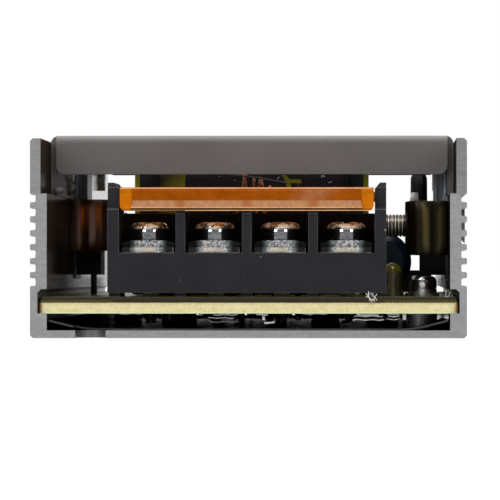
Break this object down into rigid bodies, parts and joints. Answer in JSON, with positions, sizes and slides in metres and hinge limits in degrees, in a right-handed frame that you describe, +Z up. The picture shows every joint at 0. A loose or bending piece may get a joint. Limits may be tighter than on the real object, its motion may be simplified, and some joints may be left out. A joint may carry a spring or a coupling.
{
  "type": "mesh case switching power supply",
  "caption": "Slim switching power supply in a grooved aluminium channel with a folded mesh cover, a board in extruded slots and screw terminal blocks under hinged orange strips.",
  "frame": {"origin": "centre of the base, on the plane that the case stands on", "axes": "+X across the case to the right seen from the output end, +Y from the output end to the mains input end, +Z up from the base"},
  "size_m": [0.0624, 0.165, 0.0295],
  "materials": {
    "aluminium": "satin, saw-cut ends",
    "cover_paint": "fine matt",
    "steel": "zinc plated",
    "nickel": "bright plated",
    "tin": "tinned",
    "board": "laminate",
    "film": "glossy",
    "block_black": "moulded",
    "orange_clear": "transparent",
    "ferrite": "matt",
    "black_plastic": "moulded",
    "yellow_tape": "film tape",
    "led_clear": "clear",
    "silicone": "matt",
    "clamp_steel": "yellow passivated",
    "can_sleeve": "sleeved",
    "core_yellow": "coated",
    "copper": "enamelled",
    "blue_coat": "dipped"
  },
  "bodies": {
    "unit": {"channel_housing": "aluminium", "mesh_cover": "cover_paint", "cover_flanges": "cover_paint", "cover_screws": "steel", "circuit_board": "board", "board_standoffs": "steel", "board_screws": "steel", "insulating_film": "film", "output_terminal_block": "block_black", "output_contacts": "tin", "output_clamp_plates": "nickel", "output_terminal_screws": "nickel", "input_terminal_block": "block_black", "input_contacts": "tin", "input_clamp_plates": "nickel", "input_terminal_screws": "nickel", "transformer_core": "ferrite", "transformer_bobbin": "black_plastic", "transformer_winding": "yellow_tape", "transformer_tape": "yellow_tape", "power_led": "led_clear", "rectifier_diode": "black_plastic", "rectifier_pad": "silicone", "rectifier_clamp": "clamp_steel", "rectifier_clamp_screw": "clamp_steel", "switch_transistor": "black_plastic", "switch_pad": "silicone", "switch_clamp": "clamp_steel", "switch_clamp_screw": "clamp_steel", "bulk_capacitor": "can_sleeve", "output_capacitors": "can_sleeve", "output_choke_core": "core_yellow", "output_choke_winding": "copper", "line_choke_core": "ferrite", "line_choke_windings": "copper", "bridge_rectifier": "black_plastic", "mains_fuse": "nickel", "inrush_thermistor": "black_plastic", "surge_varistor": "blue_coat", "line_filter_capacitor": "core_yellow", "disc_capacitors": "blue_coat", "control_chips": "black_plastic"},
    "output_strip": {"output_terminal_cover": "orange_clear"},
    "input_strip": {"input_terminal_cover": "orange_clear"}
  },
  "joints": [
    {"name": "output_strip_hinge", "type": "hinge", "parent": "unit", "child": "output_strip", "pos_m": [-0.00025, -0.0692, 0.0204], "axis": [-1, 0, 0], "range_deg": [0, 100]},
    {"name": "input_strip_hinge", "type": "hinge", "parent": "unit", "child": "input_strip", "pos_m": [0, 0.0692, 0.0204], "axis": [1, 0, 0], "range_deg": [0, 100]}
  ]
}
